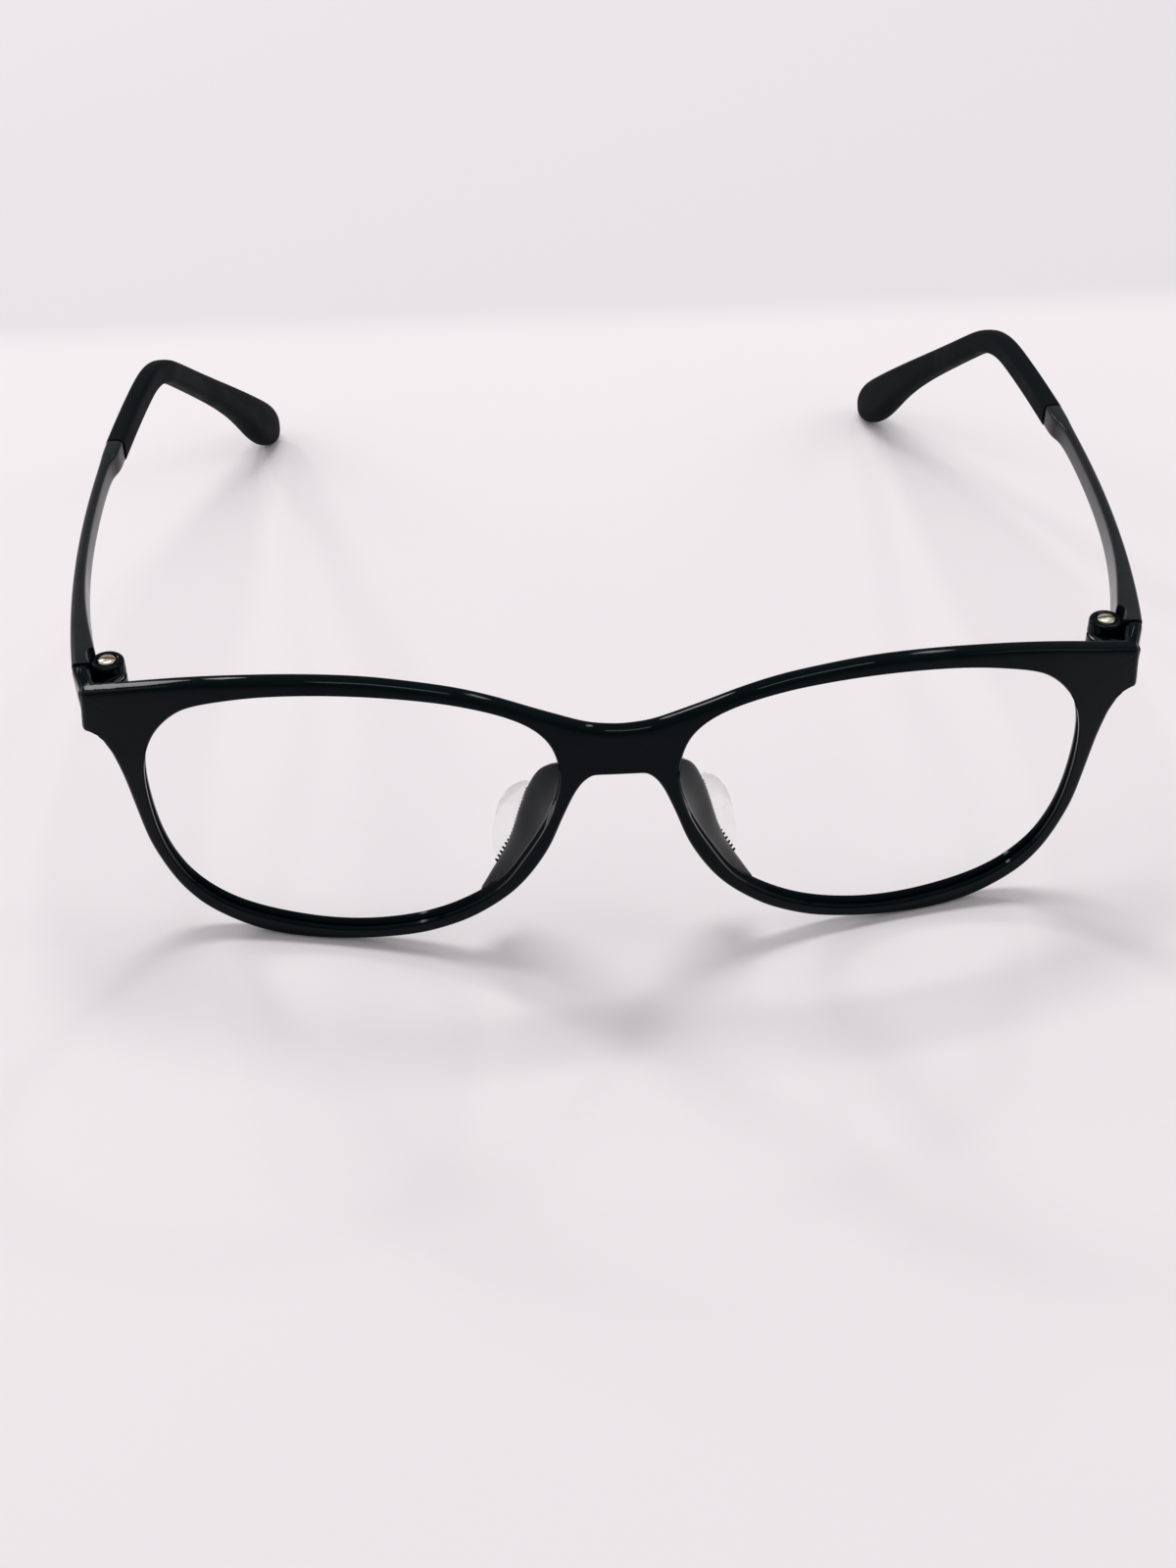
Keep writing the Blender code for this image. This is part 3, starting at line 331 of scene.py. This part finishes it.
# The top of each hinge barrel: the part of the moulding that stands free above the web, turned round
# the pin with a rolled-over rim and a round seat for the screw's head.
pin_x, pin_y = 0.064, -0.05496
barrel_radius, barrel_top, barrel_low = 0.00217, 0.04072, 0.03866
seat_radius, seat_level, bore_radius = 0.00134, 0.04003, 0.0009
rim_round, seat_round, turn_steps, on_rim = 0.00042, 0.00008, 48, 0.000005
smooth_turn = math.radians(35)
for side, sign in (("left", 1), ("right", -1)):
    knuckle = bmesh.new()
    corners = [knuckle.verts.new((sign * pin_x + out, pin_y, up)) for out, up in (
        (barrel_radius, barrel_low), (barrel_radius, barrel_top), (seat_radius, barrel_top),
        (seat_radius, seat_level), (bore_radius, seat_level), (bore_radius, barrel_low))]
    walls = [knuckle.edges.new(pair) for pair in zip(corners, corners[1:] + corners[:1])]
    bmesh.ops.spin(knuckle, geom=corners + walls, cent=(sign * pin_x, pin_y, 0.0), axis=(0.0, 0.0, 1.0),
                   dvec=(0.0, 0.0, 0.0), angle=math.tau, steps=turn_steps, use_merge=True,
                   use_duplicate=False)
    bmesh.ops.remove_doubles(knuckle, verts=knuckle.verts, dist=weld)
    bmesh.ops.recalc_face_normals(knuckle, faces=knuckle.faces)
    for radius, round_over, segments in ((barrel_radius, rim_round, 6), (seat_radius, seat_round, 2)):
        rim = [edge for edge in knuckle.edges
               if all(abs(vert.co.z - barrel_top) < on_rim
                      and abs(math.hypot(vert.co.x - sign * pin_x, vert.co.y - pin_y) - radius) < on_rim
                      for vert in edge.verts)]
        bmesh.ops.bevel(knuckle, geom=rim, offset=round_over, affect="EDGES", segments=segments, profile=0.5,
                        material=-1)
    for edge in knuckle.edges:
        edge.smooth = edge.calc_face_angle(0.0) < smooth_turn
    barrel = as_piece("hinge_barrel_top_" + side, knuckle, gloss)
    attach(barrel, "front")


# The grip teeth: a comb of small blunt teeth moulded along each wing's rear edge, which the clear
# silicone of the pad is cast round so that it can't peel off.
tooth_pitch, tooth_radius, tooth_length, tooth_sunk = 0.00065, 0.00021, 0.00066, 0.00018
tooth_taper, tip_round, tooth_lean = 0.6, 0.35, Vector((0.62, 0.78, 0.0))
rear_edge = [Vector(spot) for spot in (
    (0.01140, -0.06268, 0.0226), (0.01186, -0.06244, 0.0209), (0.01234, -0.06226, 0.0192),
    (0.01277, -0.06212, 0.0175), (0.01318, -0.06201, 0.0158), (0.01370, -0.06203, 0.0141),
    (0.01476, -0.06218, 0.0124), (0.01590, -0.06300, 0.0107))]


def points_along(path, pitch):
    """Evenly spaced places on a path of straight steps, with the path's direction at each."""
    found, walked = [], 0.0
    for first, last in zip(path, path[1:]):
        step = last - first
        while walked <= step.length:
            found.append((first + step.normalized() * walked, step.normalized()))
            walked += pitch
        walked -= step.length
    return found


for side, sign in (("left", 1), ("right", -1)):
    comb = bmesh.new()
    for spot, along in points_along(rear_edge, tooth_pitch):
        outward = (tooth_lean - along * tooth_lean.dot(along)).normalized()
        facing = Matrix((along.cross(outward), along, outward)).transposed().to_4x4()
        middle = spot + outward * (tooth_length / 2 - tooth_sunk)
        made = bmesh.ops.create_cone(comb, cap_ends=True, segments=10, radius1=tooth_radius,
                                     radius2=tooth_radius * tooth_taper, depth=tooth_length,
                                     matrix=Matrix.Translation(middle) @ facing)
        tip = max(once(face for vert in made["verts"] for face in vert.link_faces),
                  key=lambda face: face.calc_center_median().dot(outward))
        bmesh.ops.bevel(comb, geom=list(tip.edges), offset=tooth_radius * tip_round, affect="EDGES",
                        segments=2, profile=0.5, material=-1)
    bmesh.ops.scale(comb, vec=(sign, 1, 1), verts=comb.verts)
    bmesh.ops.recalc_face_normals(comb, faces=comb.faces)
    teeth = as_piece("grip_teeth_" + side, comb, gloss)
    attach(teeth, "front")


# The nose pads: a crowned cushion of clear silicone cast onto the inside of each wing, with a thin
# lobe that reaches back past the teeth on the wing's rear edge.
silicone, tree, shader = new_finish("clear_silicone")
smears = use(tree, handling_smears, Scale=300.0, Share=0.5)["Mask"]
tree.links.new(tinted(tree, smears, (0.84, 0.85, 0.84), (0.92, 0.92, 0.91)), shader.inputs["Base Color"])
tree.links.new(ramped(tree, smears, 0.03, 0.09), shader.inputs["Roughness"])
shader.inputs["Transmission Weight"].default_value = 1.0
shader.inputs["IOR"].default_value = 1.41
shader.inputs["Alpha"].default_value = 0.30
for side in ("left", "right"):
    pad = dressed("nose_pad_" + side, "soft_pad_" + side, silicone, crease_degrees=60, rounds=2)
    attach(pad, "front")


# The hinge inserts and washers: a turned brass bush pressed into each lower knuckle for the screw to
# bite in, and a stamped steel ring that takes up the play above the temple's knuckle.
brass, tree, shader = new_finish("pale_gold_plate")
wear = use(tree, handling_smears, Scale=500.0, Share=0.5)["Mask"]
tree.links.new(tinted(tree, wear, (0.45, 0.41, 0.33), (0.56, 0.52, 0.43)), shader.inputs["Base Color"])
tree.links.new(ramped(tree, wear, 0.22, 0.36), shader.inputs["Roughness"])
shader.inputs["Metallic"].default_value = 1.0
turning = use(tree, mould_grain, Scale=9000.0, Coarse=0.2)["Height"]
bump = add(tree, "Bump", {"Height": turning, "Strength": 0.2, "Distance": 0.00001}).outputs["Normal"]
tree.links.new(bump, shader.inputs["Normal"])
steel, tree, shader = new_finish("stamped_steel")
wear = use(tree, handling_smears, Scale=600.0, Share=0.5)["Mask"]
tree.links.new(tinted(tree, wear, (0.52, 0.52, 0.51), (0.66, 0.66, 0.65)), shader.inputs["Base Color"])
tree.links.new(ramped(tree, wear, 0.22, 0.38), shader.inputs["Roughness"])
shader.inputs["Metallic"].default_value = 1.0
for side in ("left", "right"):
    bush = dressed("hinge_nut_" + side, "threaded_bush_" + side, brass, crease_degrees=40, rounds=1)
    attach(bush, "front")
    ring = dressed("hinge_washer_" + side, "thrust_ring_" + side, steel, crease_degrees=40, rounds=1)
    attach(ring, "front")


# The temples: softly polished black mouldings with a tall butt face against the endpiece, a scooped
# knuckle, a long flat bar and a collar that meets the rubber sleeve.
satin, tree, shader = new_finish("satin_black")
smears = use(tree, handling_smears, Scale=60.0, Share=0.5)["Mask"]
wipes = use(tree, hairlines, Scale=200.0, Share=0.68)["Mask"]
tree.links.new(tinted(tree, smears, (0.0040, 0.0068, 0.0078), (0.0065, 0.0095, 0.0105)),
               shader.inputs["Base Color"])
sheen = add(tree, "Math", {0: ramped(tree, smears, 0.17, 0.25), 1: ramped(tree, wipes, 0.0, 0.08)},
            operation="ADD").outputs[0]
tree.links.new(sheen, shader.inputs["Roughness"])
skin = use(tree, mould_grain, Scale=7000.0, Coarse=0.3)["Height"]
bump = add(tree, "Bump", {"Height": skin, "Strength": 0.15, "Distance": 0.00002}).outputs["Normal"]
tree.links.new(bump, shader.inputs["Normal"])
shader.inputs["Specular IOR Level"].default_value = 0.15
for side in ("left", "right"):
    temple = dressed("temple_" + side, "temple_bar_" + side, satin, crease_degrees=36, rounds=2)
    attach(temple, "temple_" + side)


# The ear sleeves: matt black rubber tubes pushed over the bent cores of the temples as far as the
# collar, and flared into a flat rounded foot.
rubber, tree, shader = new_finish("matt_rubber")
smears = use(tree, handling_smears, Scale=80.0, Share=0.5)["Mask"]
dust = use(tree, dust_specks, Scale=500.0, Size=0.08)["Mask"]
worn_black = tinted(tree, smears, (0.0035, 0.0058, 0.0066), (0.0055, 0.0080, 0.0088))
speckled = add(tree, "Mix", {"Factor": ramped(tree, dust, 0.0, 0.12), 6: worn_black,
                             7: (0.45, 0.44, 0.42, 1.0)}, data_type="RGBA").outputs[2]
tree.links.new(speckled, shader.inputs["Base Color"])
tree.links.new(ramped(tree, smears, 0.50, 0.66), shader.inputs["Roughness"])
skin = use(tree, mould_grain, Scale=4200.0, Coarse=0.35)["Height"]
bump = add(tree, "Bump", {"Height": skin, "Strength": 0.5, "Distance": 0.00004}).outputs["Normal"]
tree.links.new(bump, shader.inputs["Normal"])
shader.inputs["Specular IOR Level"].default_value = 0.02
for side in ("left", "right"):
    sleeve = dressed("temple_sleeve_" + side, "ear_sleeve_" + side, rubber, crease_degrees=50, rounds=2)
    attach(sleeve, "temple_" + side)


# The hinge screws: pale gold machine screws turned down through the knuckles from above, with a low
# domed head and a straight slot, sunk a little in the top of each barrel.
for side in ("left", "right"):
    screw = dressed("hinge_screw_" + side, "hinge_screw_head_" + side, brass, crease_degrees=35, rounds=1)
    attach(screw, "front")
